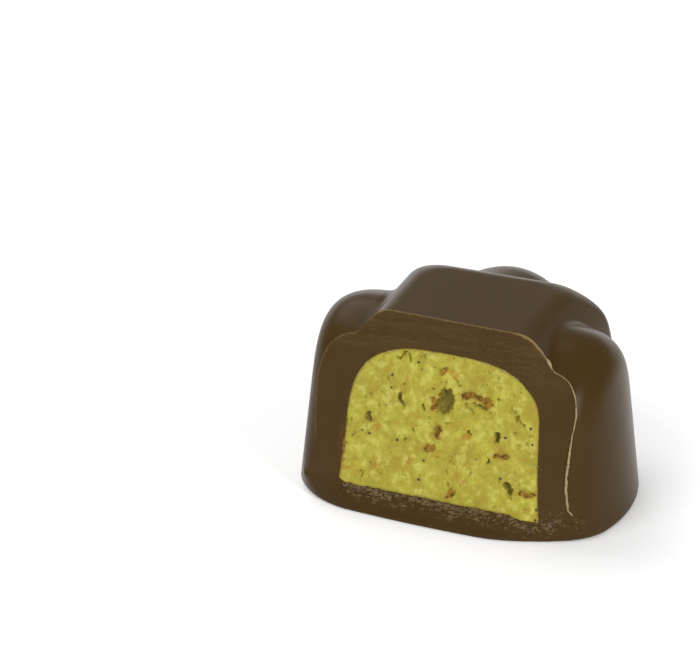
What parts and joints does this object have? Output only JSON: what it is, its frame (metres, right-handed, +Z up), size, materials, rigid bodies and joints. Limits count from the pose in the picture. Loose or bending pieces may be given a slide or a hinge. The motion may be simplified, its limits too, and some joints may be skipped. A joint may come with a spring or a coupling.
{
  "type": "chocolate truffle",
  "caption": "Moulded chocolate truffle cut open: a square block with arched lobes on a round base, its shell filled with pale yellow-green paste.",
  "frame": {"origin": "on the mould's axis, in the plane of the flat base", "axes": "+Z up, +X along the cut, +Y into the piece away from the cut face"},
  "size_m": [0.0316, 0.0261, 0.0187],
  "materials": {
    "chocolate": "dark chocolate, satin from the mould, duller where cut",
    "filling": "dull crumbly paste with pits, specks and toasted flakes"
  },
  "bodies": {
    "root": {"chocolate_shell": "chocolate", "truffle_filling": "filling"}
  },
  "joints": []
}
